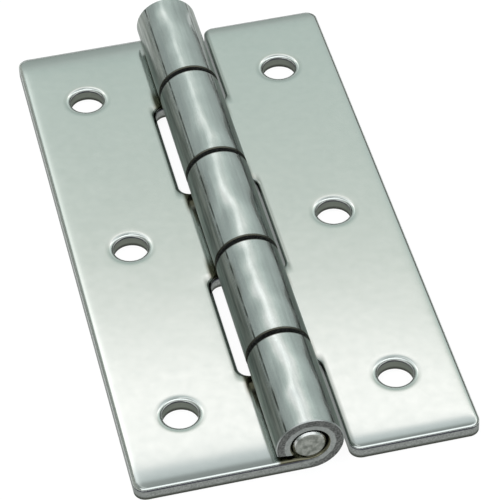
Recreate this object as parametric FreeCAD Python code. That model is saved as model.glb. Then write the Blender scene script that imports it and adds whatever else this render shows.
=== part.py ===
import FreeCAD, Part
import math
import os

os.makedirs("parts", exist_ok=True)

# A flat hinge, lying open: two leaves of folded sheet on one plain pin.
# Millimetres. X runs across the leaves, Y along the pin towards the far end, Z up.
# The undersides lie at Z 0 and the middle of the hinge is at X 0, Y 0.

# Sheet and leaves
sheet = 2.0              # thickness of both leaves
leaf_length = 89.0       # along the pin
leaf_reach = 23.1        # from the pin's axis to a leaf's outer edge
leaf_corner = 1.6        # outer corners, seen from above
roll_width = 0.55        # how far the punch draws the top face down towards its edges and hole rims
roll_depth = 0.28        # how deep that die roll is at the edge
edge_break = 0.12        # underside edges and the outside of the knuckle ends, tumbled

# Pin
pin_diameter = 4.4
pin_clearance = 0.3      # all round, between the pin and the rolled knuckles
pin_seat = 0.05          # left under the pin, which lies low in its bores
pin_inset = 0.2          # each end of the pin, inside the end knuckles
pin_chamfer = 0.25

# Knuckles: three on the left leaf, two on the right
end_knuckle = 16.4       # length of the left leaf's first and last knuckle
middle_knuckle = 17.8    # length of the left leaf's middle knuckle
knuckle_gap = 0.8        # between neighbouring knuckles
notch_clearance = 1.0    # from a knuckle to the other leaf's notch
notch_corner = 1.7       # inner corners of the notches
curl_gap = 1.4           # cut end of a knuckle above its own leaf, at the outside
curl_lean = 0.3          # how much lower the inside of that cut end is

# Screw holes, one row of three on each leaf
hole_diameter = 4.9
hole_offset = 14.65      # from the pin's axis to the row
hole_pitch = 32.6
hole_count = 3

bore_radius = pin_diameter / 2 + pin_clearance
knuckle_radius = bore_radius + sheet
notch_edge = knuckle_radius + notch_clearance
half_length = leaf_length / 2
half_middle = middle_knuckle / 2
inner_end = half_length - end_knuckle    # where the end knuckles stop, from the middle

SMALL = 1e-4
SPARE = 0.2              # how far a cutter reaches past what it cuts


def on_circle(radius, degrees):
    """A point of a circle round the pin's axis, in the XZ plane."""
    turn = math.radians(degrees)
    return FreeCAD.Vector(radius * math.cos(turn), 0, knuckle_radius + radius * math.sin(turn))


def cut_end_angle(radius, height):
    """Where a circle round the pin comes down to a height on the left side."""
    return 180 + math.degrees(math.asin((knuckle_radius - height) / radius))


def rolled_section():
    """The left leaf's section: flat sheet, under the pin, up, over and down again."""
    outer_end = cut_end_angle(knuckle_radius, sheet + curl_gap)
    inner_stop = cut_end_angle(bore_radius, sheet + curl_gap - curl_lean)
    low_outer = FreeCAD.Vector(-leaf_reach, 0, 0)
    top_outer = FreeCAD.Vector(-leaf_reach, 0, sheet)
    under = on_circle(knuckle_radius, -90)
    inside = on_circle(bore_radius, -90)
    outside_curve = Part.Arc(under, on_circle(knuckle_radius, 60), on_circle(knuckle_radius, outer_end))
    inside_curve = Part.Arc(on_circle(bore_radius, inner_stop), on_circle(bore_radius, 60), inside)
    edges = [
        Part.LineSegment(low_outer, under).toShape(),
        outside_curve.toShape(),
        Part.LineSegment(on_circle(knuckle_radius, outer_end), on_circle(bore_radius, inner_stop)).toShape(),
        inside_curve.toShape(),
        Part.LineSegment(inside, top_outer).toShape(),
        Part.LineSegment(top_outer, low_outer).toShape(),
    ]
    return Part.Face(Part.Wire(edges))


def rolled_blank():
    """The section drawn out to the leaf's full length."""
    blank = rolled_section().extrude(FreeCAD.Vector(0, leaf_length, 0))
    blank.translate(FreeCAD.Vector(0, -half_length, 0))
    return blank


def upright(edge):
    """True for an edge that runs straight up."""
    ends = [v.Point for v in edge.Vertexes]
    if len(ends) != 2:
        return False
    return math.hypot(ends[0].x - ends[1].x, ends[0].y - ends[1].y) < SMALL


def corner_edges(solid, at_x):
    """The upright edges of a solid that stand at one X."""
    return [e for e in solid.Edges if upright(e) and abs(e.Vertexes[0].X - at_x) < SMALL]


def at_the_ends(edge):
    """True for an edge at one of the leaf's two ends."""
    return abs(abs(edge.Vertexes[0].Y) - half_length) < SMALL


def notch(start, stop):
    """The room that a leaf leaves for a knuckle of the other leaf: rounded inner corners in the
    sheet, and square above it, where only the curl is cut."""
    depth = notch_edge + 2 * knuckle_radius
    above_sheet = sheet + (curl_gap - curl_lean) / 2
    low = FreeCAD.Vector(-notch_edge, start, -knuckle_radius)
    high = FreeCAD.Vector(-notch_edge, start, above_sheet)
    through_sheet = Part.makeBox(depth, stop - start, above_sheet + knuckle_radius, low)
    rounded = through_sheet.makeFillet(notch_corner, corner_edges(through_sheet, -notch_edge))
    return rounded.fuse(Part.makeBox(depth, stop - start, 3 * knuckle_radius, high)).removeSplitter()


def screw_holes():
    """One row of plain punched holes."""
    first = -hole_pitch * (hole_count - 1) / 2
    holes = []
    for i in range(hole_count):
        base = FreeCAD.Vector(-hole_offset, first + i * hole_pitch, -sheet)
        holes.append(Part.makeCylinder(hole_diameter / 2, 3 * sheet, base))
    return holes


def lies_at(edge, height):
    """True for an edge of the flat sheet that lies at one height all along."""
    low, high = edge.BoundBox.ZMin, edge.BoundBox.ZMax
    return abs(low - height) < SMALL and abs(high - height) < SMALL


def is_bend_line(edge):
    """True for the smooth line where the flat sheet starts to roll."""
    return abs(edge.BoundBox.XMin) < SMALL and abs(edge.BoundBox.XMax) < SMALL


def is_bore_rim(edge):
    """True for the round edge where a knuckle's inside meets its end."""
    if not isinstance(edge.Curve, Part.Circle):
        return False
    return abs(edge.Curve.Radius - bore_radius) < SMALL and abs(edge.Curve.Axis.y) > 1 - SMALL


def is_knuckle_rim(edge):
    """True for the round edge where a knuckle's outside meets its end."""
    if not isinstance(edge.Curve, Part.Circle):
        return False
    return abs(edge.Curve.Radius - knuckle_radius) < SMALL and abs(edge.Curve.Axis.y) > 1 - SMALL


def top_outline(leaf):
    """The outline and hole rims of the sheet's top face, which runs on inside the end knuckles.
    The bore rims between two knuckles stay plain."""
    flat = [e for e in leaf.Edges if lies_at(e, sheet) and not is_bend_line(e)]
    rims = [e for e in leaf.Edges if is_bore_rim(e) and at_the_ends(e)]
    return [Part.Wire(chain) for chain in Part.sortEdges(flat + rims)]


def roll_curve(corner, out, up):
    """A quarter of an ellipse, flat at the top face and upright at the edge."""
    middle = corner - out * roll_width - up * roll_depth
    ellipse = Part.Ellipse(middle + out * roll_width, middle + up * roll_depth, middle)
    return Part.ArcOfEllipse(ellipse, 0, math.pi / 2).toShape()


def roll_profile(corner, out, up):
    """What the punch takes off an edge, seen along the edge."""
    start = corner - out * roll_width
    stop = corner - up * roll_depth
    points = [
        stop,
        stop + out * SPARE,
        corner + out * SPARE + up * SPARE,
        start + up * SPARE,
        start,
    ]
    edges = [roll_curve(corner, out, up)]
    edges += [Part.LineSegment(a, b).toShape() for a, b in zip(points, points[1:])]
    return Part.Wire(edges)


def upward(point):
    """The sheet's way up at a point of its top face: towards the pin where it is rolled."""
    if point.z < sheet + SMALL:
        return FreeCAD.Vector(0, 0, 1)
    up = FreeCAD.Vector(0, point.y, knuckle_radius) - point
    return up.normalize()


def roll_cutter(leaf, chain):
    """The die roll's profile, swept along one chain of edges. The middle of the first edge tells
    on which side of the chain the metal lies."""
    edge = chain.OrderedEdges[0]
    halfway = (edge.FirstParameter + edge.LastParameter) / 2
    up = upward(edge.valueAt(halfway))
    beside = edge.valueAt(halfway) + edge.tangentAt(halfway).cross(up) * SPARE
    side = -1 if leaf.isInside(beside - up * roll_depth, SMALL, False) else 1
    corner = chain.OrderedVertexes[0].Point
    up = upward(corner)
    out = edge.tangentAt(edge.Curve.parameter(corner)).cross(up) * side
    return chain.makePipeShell([roll_profile(corner, out, up)], True, False)


def soften_edges(leaf):
    """Gives the top outline its die roll and breaks the edges of the underside and knuckles."""
    rolls = [roll_cutter(leaf, chain) for chain in top_outline(leaf)]
    bottom = [e for e in leaf.Edges if lies_at(e, 0) and not is_bend_line(e)]
    outside = [e for e in leaf.Edges if is_knuckle_rim(e)]
    return leaf.makeChamfer(edge_break, bottom + outside).cut(rolls)


def leaf_with(notches):
    """A leaf reaching to the left, with the notches given as pairs of Y values."""
    leaf = rolled_blank().cut([notch(start, stop) for start, stop in notches])
    corners = corner_edges(leaf, -leaf_reach)
    corners += [e for e in corner_edges(leaf, -notch_edge) if at_the_ends(e)]
    leaf = leaf.makeFillet(leaf_corner, corners)
    leaf = leaf.cut(screw_holes()).removeSplitter()
    return soften_edges(leaf.Solids[0]).Solids[0]


def left_leaf():
    """The leaf with the end knuckles and the middle one."""
    return leaf_with([(-inner_end, -half_middle), (half_middle, inner_end)])


def right_leaf():
    """The leaf with the two knuckles between, turned to reach to the right."""
    beyond = half_length + end_knuckle
    leaf = leaf_with([
        (-beyond, -inner_end + knuckle_gap),
        (-half_middle - knuckle_gap, half_middle + knuckle_gap),
        (inner_end - knuckle_gap, beyond),
    ])
    leaf.rotate(FreeCAD.Vector(0, 0, 0), FreeCAD.Vector(0, 0, 1), 180)
    return leaf


def hinge_pin():
    """A plain pin, chamfered at both ends, lying low in the bores as a loose pin rests."""
    length = leaf_length - 2 * pin_inset
    height = knuckle_radius - bore_radius + pin_seat + pin_diameter / 2
    base = FreeCAD.Vector(0, -length / 2, height)
    pin = Part.makeCylinder(pin_diameter / 2, length, base, FreeCAD.Vector(0, 1, 0))
    rims = [e for e in pin.Edges if isinstance(e.Curve, Part.Circle)]
    return pin.makeChamfer(pin_chamfer, rims)


for name, shape in (
    ("left_leaf", left_leaf()),
    ("right_leaf", right_leaf()),
    ("hinge_pin", hinge_pin()),
):
    shape.exportStep("parts/" + name + ".step")
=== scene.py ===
import bmesh
import bpy
import math
from mathutils import Matrix

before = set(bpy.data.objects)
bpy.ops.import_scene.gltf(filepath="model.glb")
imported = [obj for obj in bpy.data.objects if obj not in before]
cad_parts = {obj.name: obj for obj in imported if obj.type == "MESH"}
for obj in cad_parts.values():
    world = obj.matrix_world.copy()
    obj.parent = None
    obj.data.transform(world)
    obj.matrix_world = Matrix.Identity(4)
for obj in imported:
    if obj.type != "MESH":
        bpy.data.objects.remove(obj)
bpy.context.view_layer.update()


# Camera. It looks down on the open hinge from its near end, a little from the left,
# with a long lens, as the photograph was taken.
camera_place = (-0.05492, -0.27291, 0.26450)
camera_right = (0.97272, -0.23041, -0.02677)
camera_up = (0.17831, 0.66895, 0.72161)
camera_back = (-0.14836, -0.70670, 0.69179)
sensor_width_mm = 36
lens_mm = 195.96
nearest = 0.01
farthest = 20

camera = bpy.data.objects.new("camera", bpy.data.cameras.new("camera"))
camera.data.sensor_width = sensor_width_mm
camera.data.lens = lens_mm
camera.data.clip_start = nearest
camera.data.clip_end = farthest
aim = Matrix((camera_right, camera_up, camera_back)).transposed().to_4x4()
camera.matrix_world = Matrix.Translation(camera_place) @ aim
bpy.context.scene.collection.objects.link(camera)
bpy.context.scene.camera = camera
bpy.context.scene.view_settings.view_transform = "Standard"


# Leaves. Each is one blank of 2 mm stainless sheet, punched out, rolled round the pin and
# tumbled. The faces are polished, and the cut edges keep the punch's bright upper band
# and the grey torn band below it.
sheet_mm = 2.0
face_mm = sheet_mm + 0.05     # just above the top face
pin_height_mm = 4.5
bore_radius_mm = 2.5
leaf_reach_mm = 23.1
half_length_mm = 44.5
notch_edge_mm = 5.5
notch_fade_mm = 1.2           # how gently the notches' edges begin and end
hole_offset_mm = 14.65
hole_pitch_mm = 32.6
hole_radius_mm = 2.45
glancing_tint = (0.66, 0.68, 0.67, 1)    # of the metal seen at a glancing angle


class Tree:
    """A material's nodes, added and joined one line at a time."""

    def __init__(self, material):
        material.use_nodes = True
        self.nodes = material.node_tree.nodes
        self.links = material.node_tree.links
        self.nodes.clear()

    def join(self, source, socket):
        """Links a socket to a socket, or sets it to a value."""
        if isinstance(source, bpy.types.NodeSocket):
            self.links.new(source, socket)
        elif source is not None:
            socket.default_value = source

    def add(self, kind, *sources, **settings):
        """A node with its first inputs joined."""
        node = self.nodes.new("ShaderNode" + kind)
        for key, value in settings.items():
            setattr(node, key, value)
        for source, socket in zip(sources, node.inputs):
            self.join(source, socket)
        return node

    def math(self, operation, *sources):
        return self.add("Math", *sources, operation=operation).outputs[0]

    def times(self, product, *factors):
        for factor in factors:
            product = self.math("MULTIPLY", product, factor)
        return product

    def diagonal(self, first, second):
        """How far away a point is, from two distances at a right angle."""
        squares = self.math("ADD", self.times(first, first), self.times(second, second))
        return self.math("SQRT", squares)

    def smooth(self, value, low, high):
        """0 at low, 1 at high and smooth between. Either may be the larger."""
        step = self.add("MapRange", value, low, high, interpolation_type="SMOOTHSTEP")
        return step.outputs[0]

    def noise(self, place, scale, detail, stretch=(1, 1, 1)):
        """Noise with a scale in spots a millimetre."""
        spread = self.add("Mapping", place)
        spread.inputs["Scale"].default_value = stretch
        noise = self.add("TexNoise", spread.outputs[0])
        noise.inputs["Scale"].default_value = scale
        noise.inputs["Detail"].default_value = detail
        return noise.outputs[0]

    def blend(self, share, first, second):
        """A mix of two colours."""
        mix = self.add("Mix", data_type="RGBA")
        sockets = (mix.inputs[0], mix.inputs[6], mix.inputs[7])
        for source, socket in zip((share, first, second), sockets):
            self.join(source, socket)
        return mix.outputs[2]

    def tones(self, value, *stops):
        """A ramp of colours, given as pairs of a place and a colour."""
        ramp = self.add("ValToRGB", value)
        elements = ramp.color_ramp.elements
        elements.remove(elements[1])
        for i, (place, colour) in enumerate(stops):
            stop = elements[0] if i == 0 else elements.new(place)
            stop.position = place
            stop.color = (*colour, 1)
        return ramp.outputs[0]

    def bump(self, height, distance, before=None):
        """Relief with a depth in millimetres, on top of the relief before."""
        relief = self.add("Bump")
        relief.inputs["Distance"].default_value = distance / 1000
        self.join(height, relief.inputs["Height"])
        self.join(before, relief.inputs["Normal"])
        return relief.outputs[0]

    def sag(self, distance, reach, depth):
        """How far a soft edge sinks at a distance from it, all in millimetres."""
        share = self.math("DIVIDE", self.math("MAXIMUM", distance, 0.0), -reach)
        return self.times(self.math("EXPONENT", share), depth)

    def metal(self, colour, roughness, normal):
        """Ends the tree with a bare metal surface."""
        shader = self.add("BsdfPrincipled")
        shader.inputs["Metallic"].default_value = 1.0
        shader.inputs["Specular Tint"].default_value = glancing_tint
        for source, name in ((colour, "Base Color"), (roughness, "Roughness"), (normal, "Normal")):
            self.join(source, shader.inputs[name])
        output = self.add("OutputMaterial")
        self.links.new(shader.outputs[0], output.inputs[0])

    def millimetres(self, quarter_turns):
        """The place on the piece in millimetres and its normal, turned about Z."""
        coords = self.add("TexCoord")
        turn = (0, 0, quarter_turns * math.pi / 2)
        place = self.add("Mapping", coords.outputs["Object"])
        place.inputs["Rotation"].default_value = turn
        place.inputs["Scale"].default_value = (1000, 1000, 1000)
        normal = self.add("Mapping", coords.outputs["Normal"], vector_type="VECTOR")
        normal.inputs["Rotation"].default_value = turn
        return place.outputs[0], normal.outputs[0]


# How a surface of the leaf is told by its normal.
end_face_slope = 0.86
side_face_slope = 0.3
drawn_shaded_side_top = (0.72, 0.60)
drawn_shaded_side_bottom = (-0.30, -0.05)

# The torn band of a cut face: shares of the sheet, and its ragged edge.
tear_depth = (0.40, 0.50)
ragged_edge = 0.16
ragged_noise = (1.6, 4.0)
crumb_noise = (5.0, 4.0)


class Sheet(Tree):
    """A leaf's metal, with the places that its pattern hangs on. They are worked out for the
    left leaf, and the right leaf's are turned to match."""

    def __init__(self, material, quarter_turns, knuckle_rims, knuckles_between):
        super().__init__(material)
        self.place, normal = self.millimetres(quarter_turns)
        self.x, y, z = self.add("SeparateXYZ", self.place).outputs
        _, along, self.up = self.add("SeparateXYZ", normal).outputs
        self.along = self.math("ABSOLUTE", along)
        from_middle = self.math("ABSOLUTE", y)

        # The flat sheet, the rolled part, and the depth below the top face from 0 to 1
        self.low = self.math("LESS_THAN", z, face_mm)
        self.high = self.math("GREATER_THAN", z, face_mm)
        self.flat = self.times(self.math("LESS_THAN", self.x, 0.0), self.low)
        self.curved = self.math("SUBTRACT", 1.0, self.flat)
        self.radius = self.diagonal(self.x, self.math("SUBTRACT", z, pin_height_mm))
        in_wall = self.math("SUBTRACT", self.radius, bore_radius_mm)
        in_knuckle = self.math("DIVIDE", in_wall, sheet_mm)
        in_leaf = self.math("DIVIDE", self.math("SUBTRACT", sheet_mm, z), sheet_mm)
        deeper = self.math("SUBTRACT", in_leaf, in_knuckle)
        self.depth = self.math("MULTIPLY_ADD", self.flat, deeper, in_knuckle)

        # Distances to the edges and to the nearest hole's rim
        self.to_side = self.math("ADD", self.x, leaf_reach_mm)
        self.to_end = self.math("SUBTRACT", half_length_mm, from_middle)
        self.to_notch = self.math("SUBTRACT", -notch_edge_mm, self.x)
        along_row = self.math("WRAP", self.math("ADD", y, hole_pitch_mm / 2), hole_pitch_mm, 0.0)
        along_row = self.math("SUBTRACT", along_row, hole_pitch_mm / 2)
        from_row = self.math("ADD", self.x, hole_offset_mm)
        self.to_rim = self.math("SUBTRACT", self.diagonal(from_row, along_row), hole_radius_mm)

        # Where the leaf has a notch beside it, and how far beyond a notch's end a place lies
        first, last = knuckle_rims
        starts = self.smooth(from_middle, first - notch_fade_mm, first + notch_fade_mm)
        stops = self.smooth(from_middle, last - notch_fade_mm, last + notch_fade_mm)
        between = self.math("SUBTRACT", starts, stops)
        between = self.math("SUBTRACT", between, knuckles_between)
        self.beside_notch = self.math("ABSOLUTE", between)
        outside = self.math("MAXIMUM", self.math("SUBTRACT", first, from_middle),
                            self.math("SUBTRACT", from_middle, last))
        self.past_notch = self.times(outside, 1 - 2 * knuckles_between)

        # Cut faces with their torn band, and the knuckles' sides, with drawing lines and painted
        # shade
        self.crumbs = self.noise(self.place, *crumb_noise)
        end_face = self.math("GREATER_THAN", self.along, end_face_slope)
        upright = self.math("LESS_THAN", self.math("ABSOLUTE", self.up), side_face_slope)
        self.cut = self.math("MAXIMUM", end_face, self.times(self.flat, upright))
        ragged = self.noise(self.place, *ragged_noise)
        ragged = self.math("MULTIPLY_ADD", ragged, ragged_edge, -ragged_edge / 2)
        ragged = self.math("ADD", self.depth, ragged)
        self.torn = self.times(self.cut, self.smooth(ragged, *tear_depth))
        self.drawn_shaded_side = self.times(self.smooth(self.up, *drawn_shaded_side_top),
                                self.smooth(self.up, *drawn_shaded_side_bottom))


# Colours of the metal, as ramps over a noise or alone.
leaf_metal = ((0.3, (0.577, 0.615, 0.592)), (0.7, (0.608, 0.643, 0.619)))
knuckle_metal = ((0.36, (0.515, 0.555, 0.540)), (0.64, (0.610, 0.650, 0.632)))
# The knuckles' sides: drawing lines, and a darker tone that is painted shade.
drawn_and_shaded_metal = ((0.35, (0.27, 0.30, 0.28)), (0.65, (0.52, 0.55, 0.515)))
burnished_metal = ((0.3, (0.25, 0.27, 0.26)), (0.7, (0.36, 0.38, 0.365)))
torn_metal = ((0.32, (0.07, 0.073, 0.07)), (0.5, (0.13, 0.135, 0.13)), (0.68, (0.22, 0.23, 0.22)))
sheared_metal = ((0.32, (0.172, 0.185, 0.175)), (0.68, (0.292, 0.309, 0.296)))
# A dark line at a fixed slope round each knuckle, on both sides.
knuckle_dark_line_metal = (0.13, 0.145, 0.13, 1)
rim_shade_metal = (0.51, 0.55, 0.525, 1)
# Painted highlight on the die roll of the holes and of the outer side.
die_roll_highlight_metal = (0.82, 0.86, 0.83, 1)
notch_shade_metal = (0.24, 0.265, 0.245, 1)
# Painted shade inside the holes.
hole_wall_shade_metal = (0.185, 0.205, 0.175, 1)
# Painted shade line at the top of the cut faces, under the die roll.
upper_edge_shade_metal = (0.055, 0.056, 0.07, 1)
lower_edge_metal = (0.06, 0.065, 0.055, 1)
# Painted shade on the knuckles' chamfered end rims.
end_rim_shade_metal = (0.34, 0.36, 0.35, 1)
# Painted shade at the joints between the knuckles.
joint_shade_metal = (0.07, 0.07, 0.055, 1)
# Painted shade in the crevice under the curl and inside the bore.
crevice_shade_metal = (0.13, 0.125, 0.085, 1)

# Noises: spots a millimetre, detail and how they stretch.
cloud_noise = (0.11, 3.0)
mottle_noise = (0.9, 5.0)
line_noise = (2.2, 3.0, (1.0, 0.05, 1.0))
patch_noise = (0.35, 2.0, (0.0, 1.0, 0.0))
mottle_share = 0.6
speckle_share = 0.5
patches = (0.25, 0.60)

# Where a colour begins and where it is full: millimetres from the rim or edge it lies at,
# or beyond a notch's end.
rim_shade_mm = (1.3, 0.7)
die_roll_highlight_mm = (0.62, 0.42)
narrower_at_side_mm = 0.1
notch_shade_mm = (0.95, 0.30)
hole_wall_shade_mm = (0.15, 0.05)
joint_shade_mm = (0.30, 0.10)
crevice_start_mm = (-0.4, 0.1)
crevice_end_mm = (5.0, 2.2)

# The same in X, or round the pin for the inside of the bore.
bend_x = (-2.0, 2.5)
curl_x = (-4.4, -3.8)
crevice_x = (-5.6, -4.8)
bore_shade_radius = (3.1, 2.9)

# The same by depth in the sheet, or by the normal.
upper_edge_shade_depth = (0.26, 0.19)
lower_edge_depth = (0.60, 0.85)
crevice_shade_depth = 0.15             # the painted crevice shade lies on the top face only
dark_line_top_slope = (0.745, 0.730)
dark_line_bottom_slope = (0.690, 0.705)
end_rim_shade_slope = (0.35, 0.60)


def sheet_colour(sheet):
    """Polished faces with painted shade at the holes' rims, the notches, the knuckles' end rims,
    the joints, the crevice under the curl and the bore, a painted highlight on the die roll and
    painted shade on the knuckles' sides; cut faces with their bands, painted shade in the holes
    and a painted shade line under the die roll.
    """
    cloud = sheet.noise(sheet.place, *cloud_noise)
    mottle = sheet.noise(sheet.place, *mottle_noise)
    clouded = sheet.times(cloud, 1 - mottle_share)
    mottle = sheet.math("MULTIPLY_ADD", mottle, mottle_share, clouded)
    on_leaf = sheet.tones(mottle, *leaf_metal)
    on_leaf = sheet.blend(sheet.smooth(sheet.to_rim, *rim_shade_mm), on_leaf, rim_shade_metal)
    # Painted highlight: the rolled rims of the holes and the outer side are painted lighter.
    to_side = sheet.math("ADD", sheet.to_side, narrower_at_side_mm)
    die_roll_highlight = sheet.smooth(sheet.math("MINIMUM", sheet.to_rim, to_side), *die_roll_highlight_mm)
    on_leaf = sheet.blend(die_roll_highlight, on_leaf, die_roll_highlight_metal)
    along_notch = sheet.times(sheet.beside_notch, sheet.smooth(sheet.to_notch, *notch_shade_mm))
    on_leaf = sheet.blend(along_notch, on_leaf, notch_shade_metal)

    lines = sheet.noise(sheet.place, *line_noise)
    lined = sheet.times(lines, 1 - speckle_share)
    speckle = sheet.math("MULTIPLY_ADD", sheet.crumbs, speckle_share, lined)
    on_knuckle = sheet.tones(speckle, *knuckle_metal)
    # The knuckles' sides are painted darker as shade, with drawing lines in it.
    on_knuckle = sheet.blend(sheet.drawn_shaded_side, on_knuckle, sheet.tones(lines, *drawn_and_shaded_metal))
    patchy = sheet.smooth(sheet.noise(sheet.place, *patch_noise), *patches)
    # A patchy dark line where the knuckle's normal has a fixed slope, on both sides.
    dark_line = sheet.times(sheet.smooth(sheet.up, *dark_line_top_slope),
                       sheet.smooth(sheet.up, *dark_line_bottom_slope), patchy)
    on_knuckle = sheet.blend(dark_line, on_knuckle, knuckle_dark_line_metal)

    polished = sheet.blend(sheet.flat, on_knuckle, on_leaf)
    # Painted shade on the knuckles' end rims.
    end_rim_shade = sheet.times(sheet.smooth(sheet.along, *end_rim_shade_slope), sheet.curved)
    polished = sheet.blend(end_rim_shade, polished, end_rim_shade_metal)
    # Painted shade at the joints between the knuckles.
    joint_shade = sheet.times(sheet.smooth(sheet.past_notch, *joint_shade_mm), sheet.curved)
    polished = sheet.blend(joint_shade, polished, joint_shade_metal)
    # Painted shade in the crevice under the curl, beside the notches' ends and inside the bore.
    crevice = sheet.times(sheet.smooth(sheet.past_notch, *crevice_start_mm),
                          sheet.smooth(sheet.past_notch, *crevice_end_mm),
                          sheet.smooth(sheet.x, *crevice_x))
    crevice_shade = sheet.math("MAXIMUM", sheet.smooth(sheet.x, *curl_x), crevice)
    crevice_shade = sheet.times(crevice_shade, sheet.low, sheet.math("LESS_THAN", sheet.depth, crevice_shade_depth))
    crevice_shade = sheet.math("MAXIMUM", crevice_shade, sheet.smooth(sheet.radius, *bore_shade_radius))
    polished = sheet.blend(crevice_shade, polished, crevice_shade_metal)

    sheared = sheet.tones(sheet.crumbs, *sheared_metal)
    # Painted shade on the walls inside the holes.
    sheared = sheet.blend(sheet.smooth(sheet.to_rim, *hole_wall_shade_mm), sheared, hole_wall_shade_metal)
    # A painted shade line along the cut face's upper edge.
    sheared = sheet.blend(sheet.smooth(sheet.depth, *upper_edge_shade_depth), sheared, upper_edge_shade_metal)
    sheared = sheet.blend(sheet.smooth(sheet.depth, *lower_edge_depth), sheared, lower_edge_metal)
    burnished = sheet.tones(sheet.crumbs, *burnished_metal)
    ring = sheet.blend(sheet.torn, burnished, sheet.tones(sheet.crumbs, *torn_metal))
    beyond_bend = sheet.times(sheet.smooth(sheet.x, *bend_x), sheet.low)
    cut_face = sheet.blend(sheet.math("MAXIMUM", beyond_bend, sheet.high), sheared, ring)
    return sheet.blend(sheet.cut, polished, cut_face)


# Roughness of the leaf's face, and what wear, rolling, drawing and cutting add to it.
polished_roughness = 0.07
wear_roughness = 0.08
rolled_roughness = 0.09
drawn_roughness = 0.14
rim_roughness = 0.20
cut_roughness = 0.22
wear_noise = (0.6, 4.0)
rough_rim_mm = (0.50, 0.20)


def sheet_roughness(sheet):
    """Smooth on the leaf and rougher on the knuckles, the holes' rims and the cut faces."""
    worn = sheet.noise(sheet.place, *wear_noise)
    rough = sheet.math("MULTIPLY_ADD", worn, wear_roughness, polished_roughness)
    rough = sheet.math("MULTIPLY_ADD", sheet.curved, rolled_roughness, rough)
    drawn_shaded_side = sheet.times(sheet.drawn_shaded_side, sheet.curved)
    rough = sheet.math("MULTIPLY_ADD", drawn_shaded_side, drawn_roughness, rough)
    by_rim = sheet.smooth(sheet.to_rim, *rough_rim_mm)
    rough = sheet.math("MULTIPLY_ADD", by_rim, rim_roughness, rough)
    return sheet.math("MULTIPLY_ADD", sheet.cut, cut_roughness, rough)


# Soft edges: how far in they reach and how deep they are, in millimetres.
side_sag_mm = (0.35, 0.12)
rim_sag_mm = (0.24, 0.24)
notch_sag_reach_mm = 0.5
end_sag_slope = 0.46
level_x = (0.0, -2.0)         # the soft edges end where the sheet starts to roll

# The knuckles' sway and the other relief, in millimetres.
crest_slope = (0.65, 0.90)
crest_mm = 2.0                # the sway grows this far out from the crest
sway_noise = (0.10, 1.0, (0.0, 1.0, 0.0))
sway_mm = 0.50
wave_noise = (0.25, 1.0)
wave_mm = 0.06
waves_on_leaf = 0.1
fine_noise = (7.0, 3.0)
grain_mm = 0.0012
tear_mm = 0.04


def sheet_relief(sheet, end_reach, notch_sink):
    """The sheet's soft edges, the knuckles' sway, a fine grain and the torn band's crumbs."""
    crest = sheet.times(sheet.curved, sheet.smooth(sheet.up, *crest_slope))
    sway = sheet.math("SUBTRACT", sheet.noise(sheet.place, *sway_noise), 0.5)
    near_crest = sheet.math("MAXIMUM", sheet.math("MINIMUM", sheet.x, crest_mm), -crest_mm)
    relief = sheet.bump(sheet.times(near_crest, crest, sway), sway_mm)
    swell = sheet.math("MULTIPLY_ADD", crest, 1 - waves_on_leaf, waves_on_leaf)
    waves = sheet.times(swell, sheet.noise(sheet.place, *wave_noise))
    relief = sheet.bump(waves, wave_mm, relief)

    sunk = sheet.sag(sheet.to_side, *side_sag_mm)
    at_end = sheet.sag(sheet.to_end, end_reach, end_sag_slope * end_reach)
    sunk = sheet.math("ADD", sunk, at_end)
    sunk = sheet.math("ADD", sunk, sheet.sag(sheet.to_rim, *rim_sag_mm))
    beside_notch = sheet.sag(sheet.to_notch, notch_sag_reach_mm, notch_sink)
    sunk = sheet.math("ADD", sunk, sheet.times(sheet.beside_notch, beside_notch))
    sunk = sheet.times(sheet.flat, sheet.smooth(sheet.x, *level_x), sunk, -1.0)
    relief = sheet.bump(sunk, 1.0, relief)

    relief = sheet.bump(sheet.noise(sheet.place, *fine_noise), grain_mm, relief)
    return sheet.bump(sheet.times(sheet.torn, sheet.crumbs), tear_mm, relief)


# For each leaf: quarter turns from the left one, where its knuckles end from the middle,
# 1 if a knuckle lies between these two places or 0 if a notch does, how far the soft ends
# reach and how deep the soft notches are.
for leaf, quarter_turns, knuckle_rims, knuckles_between, end_reach, notch_sink in (
    ("left_leaf", 0, (8.9, 28.1), 0, 1.12, 0.06),
    ("right_leaf", 2, (9.7, 27.3), 1, 0.70, 0.04),
):
    stainless = bpy.data.materials.new(leaf + "_stainless")
    sheet = Sheet(stainless, quarter_turns, knuckle_rims, knuckles_between)
    relief = sheet_relief(sheet, end_reach, notch_sink)
    sheet.metal(sheet_colour(sheet), sheet_roughness(sheet), relief)
    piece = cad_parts[leaf]
    piece.data.materials[0] = stainless


# Pin. One length of drawn stainless wire, cut off and chamfered at both ends. It lies in
# all five knuckles, and its cut end shows in the near one.
drawn_wire = ((0.3, (0.52, 0.54, 0.52)), (0.7, (0.68, 0.70, 0.68)))
cropped_wire = ((0.35, (0.16, 0.172, 0.152)), (0.62, (0.33, 0.345, 0.315)))
pin_end_slope = (0.85, 0.95)
scratch_noise = (6.0, 3.0, (1.0, 0.04, 1.0))
blotch_noise = (1.5, 5.0)
wire_roughness = 0.22
scratch_roughness = 0.1
pin_end_roughness = 0.18
scratch_mm = 0.004
blotch_mm = 0.05

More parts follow.
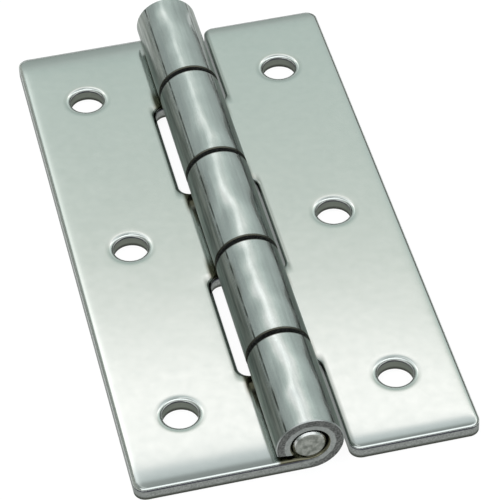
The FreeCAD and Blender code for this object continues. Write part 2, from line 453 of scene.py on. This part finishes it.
wire = bpy.data.materials.new("pin_wire")
tree = Tree(wire)
place, normal = tree.millimetres(0)
along = tree.add("SeparateXYZ", normal).outputs[1]
end = tree.smooth(tree.math("ABSOLUTE", along), *pin_end_slope)
scratches = tree.noise(place, *scratch_noise)
blotches = tree.noise(place, *blotch_noise)
colour = tree.blend(end, tree.tones(scratches, *drawn_wire), tree.tones(blotches, *cropped_wire))
rough = tree.math("MULTIPLY_ADD", scratches, scratch_roughness, wire_roughness)
rough = tree.math("MULTIPLY_ADD", end, pin_end_roughness, rough)
relief = tree.bump(scratches, scratch_mm)
tree.metal(colour, rough, tree.bump(tree.times(end, blotches), blotch_mm, relief))

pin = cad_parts["hinge_pin"]
pin.data.materials[0] = wire


# Floor. A plain white table that the camera and the metal see as white paper, and that
# keeps a little of the hinge's shadow.
floor_radius = 3.0
floor_sides = 64
floor_drop = 0.00005
floor_glow = 0.90
paper_white = (0.8, 0.8, 0.8, 1)
shadow_grey = (0.13, 0.13, 0.13, 1)

mesh = bmesh.new()
bmesh.ops.create_circle(mesh, cap_ends=True, segments=floor_sides, radius=floor_radius)
bmesh.ops.translate(mesh, vec=(0, 0, -floor_drop), verts=mesh.verts)
floor = bpy.data.objects.new("floor", bpy.data.meshes.new("floor"))
mesh.to_mesh(floor.data)
mesh.free()
bpy.context.scene.collection.objects.link(floor)

paper = bpy.data.materials.new("white_paper")
tree = Tree(paper)
rays = tree.add("LightPath").outputs
seen = tree.math("MAXIMUM", rays["Is Camera Ray"], rays["Is Glossy Ray"])
seen = tree.math("MAXIMUM", seen, rays["Is Transmission Ray"])
matt = tree.add("BsdfDiffuse")
matt.inputs["Color"].default_value = paper_white
faint = tree.add("BsdfDiffuse")
faint.inputs["Color"].default_value = shadow_grey
glow = tree.add("Emission")
glow.inputs["Strength"].default_value = floor_glow
white = tree.add("AddShader", glow.outputs[0], faint.outputs[0])
surface = tree.add("MixShader", seen, matt.outputs[0], white.outputs[0])
tree.links.new(surface.outputs[0], tree.add("OutputMaterial").inputs[0])
floor.data.materials.append(paper)


# Flags. Three low grey boards stand round the hinge, hidden from the camera. They give
# the polished metal its dark edges, as in a product studio.
felt_blue = 0.95              # of the felt's red and green

for name, board_x, board_y, board_height, board_length, board_turn, grey in (
    ("left_flag", -0.027, 0.010, 0.0125, 0.125, 0, 0.50),
    ("right_flag", 0.030, 0.010, 0.0075, 0.125, 0, 0.27),
    ("front_flag", 0.0, -0.075, 0.010, 0.120, math.pi / 2, 0.09),
):
    mesh = bmesh.new()
    bmesh.ops.create_grid(mesh, x_segments=1, y_segments=1, size=0.5)
    bmesh.ops.scale(mesh, vec=(board_height, board_length, 1), verts=mesh.verts)
    bmesh.ops.rotate(mesh, matrix=Matrix.Rotation(math.pi / 2, 3, "Y"), verts=mesh.verts)
    bmesh.ops.rotate(mesh, matrix=Matrix.Rotation(board_turn, 3, "Z"), verts=mesh.verts)
    bmesh.ops.translate(mesh, vec=(board_x, board_y, board_height / 2), verts=mesh.verts)
    flag = bpy.data.objects.new(name, bpy.data.meshes.new(name))
    mesh.to_mesh(flag.data)
    mesh.free()
    bpy.context.scene.collection.objects.link(flag)
    flag.visible_camera = False
    flag.visible_diffuse = False
    flag.visible_shadow = False
    board = bpy.data.materials.new(name + "_board")
    tree = Tree(board)
    felt = tree.add("BsdfDiffuse")
    felt.inputs["Color"].default_value = (grey, grey, felt_blue * grey, 1)
    tree.links.new(felt.outputs[0], tree.add("OutputMaterial").inputs[0])
    flag.data.materials.append(board)


# Light. A pale room with a ring of bright panels half way up, which the leaves mirror at
# their near end, a tall panel in front, a strip light overhead for the streak along the
# knuckles, and one soft lamp for the shadow.

# The room's tones from the horizon, 0.5, to straight up, 1.
room_tones = (
    (0.480, (0.33, 0.36, 0.35)),
    (0.520, (0.41, 0.45, 0.435)),
    (0.610, (0.49, 0.54, 0.525)),
    (0.740, (0.54, 0.60, 0.58)),
    (0.770, (0.62, 0.68, 0.66)),
    (0.815, (0.70, 0.80, 0.765)),
    (0.841, (0.85, 0.91, 0.860)),
    (0.850, (0.96, 0.99, 0.940)),
    (0.855, (1.24, 1.235, 1.195)),
    (0.861, (1.76, 1.69, 1.68)),
    (0.873, (1.76, 1.69, 1.68)),
    (0.881, (1.20, 1.20, 1.20)),
    (0.894, (0.90, 0.94, 0.96)),
    (0.935, (0.72, 0.77, 0.78)),
    (0.965, (0.42, 0.45, 0.45)),
    (1.000, (0.36, 0.39, 0.385)),
)
left_to_right = (-0.7, 0.7, 0.84, 1.08)    # the room is dimmer on its left

# The panels' edges, by direction: where they begin and where they are full.
front_edge = (-0.15, -0.35)
panel_bottom = (0.40, 0.50)
panel_top = (0.93, 0.85)
panel_colour = (1.6, 1.62, 1.66, 1)
strip_left = (-0.20, -0.06)
strip_right = (0.09, 0.01)
strip_bottom = (0.56, 0.66)
strip_power = 0.42

lamp_size = 0.5
lamp_power = 4.0
lamp_place = (-0.25, 0.1, 1.2)
lamp_turn = (-0.083, -0.205, 0)

room = bpy.data.worlds.new("studio")
bpy.context.scene.world = room
tree = Tree(room)
direction = tree.add("TexCoord").outputs["Generated"]
aside, ahead, height = tree.add("SeparateXYZ", direction).outputs
studio = tree.tones(tree.math("MULTIPLY_ADD", height, 0.5, 0.5), *room_tones)
side = tree.add("MapRange", aside, *left_to_right)
studio = tree.add("VectorMath", studio, side.outputs[0], operation="MULTIPLY").outputs[0]
in_front = tree.smooth(ahead, *front_edge)
panel = tree.times(tree.smooth(height, *panel_bottom), tree.smooth(height, *panel_top), in_front)
studio = tree.blend(panel, studio, panel_colour)
strip = tree.times(tree.smooth(aside, *strip_left), tree.smooth(aside, *strip_right),
                   tree.smooth(height, *strip_bottom), tree.math("SUBTRACT", 1.0, in_front),
                   strip_power)
studio = tree.add("VectorMath", studio, strip).outputs[0]
room_light = tree.add("Background", studio)
tree.links.new(room_light.outputs[0], tree.add("OutputWorld").inputs[0])

lamp = bpy.data.objects.new("overhead_lamp", bpy.data.lights.new("overhead_lamp", "AREA"))
lamp.data.shape = "DISK"
lamp.data.size = lamp_size
lamp.data.energy = lamp_power
lamp.location = lamp_place
lamp.rotation_euler = lamp_turn
lamp.visible_glossy = False
bpy.context.scene.collection.objects.link(lamp)
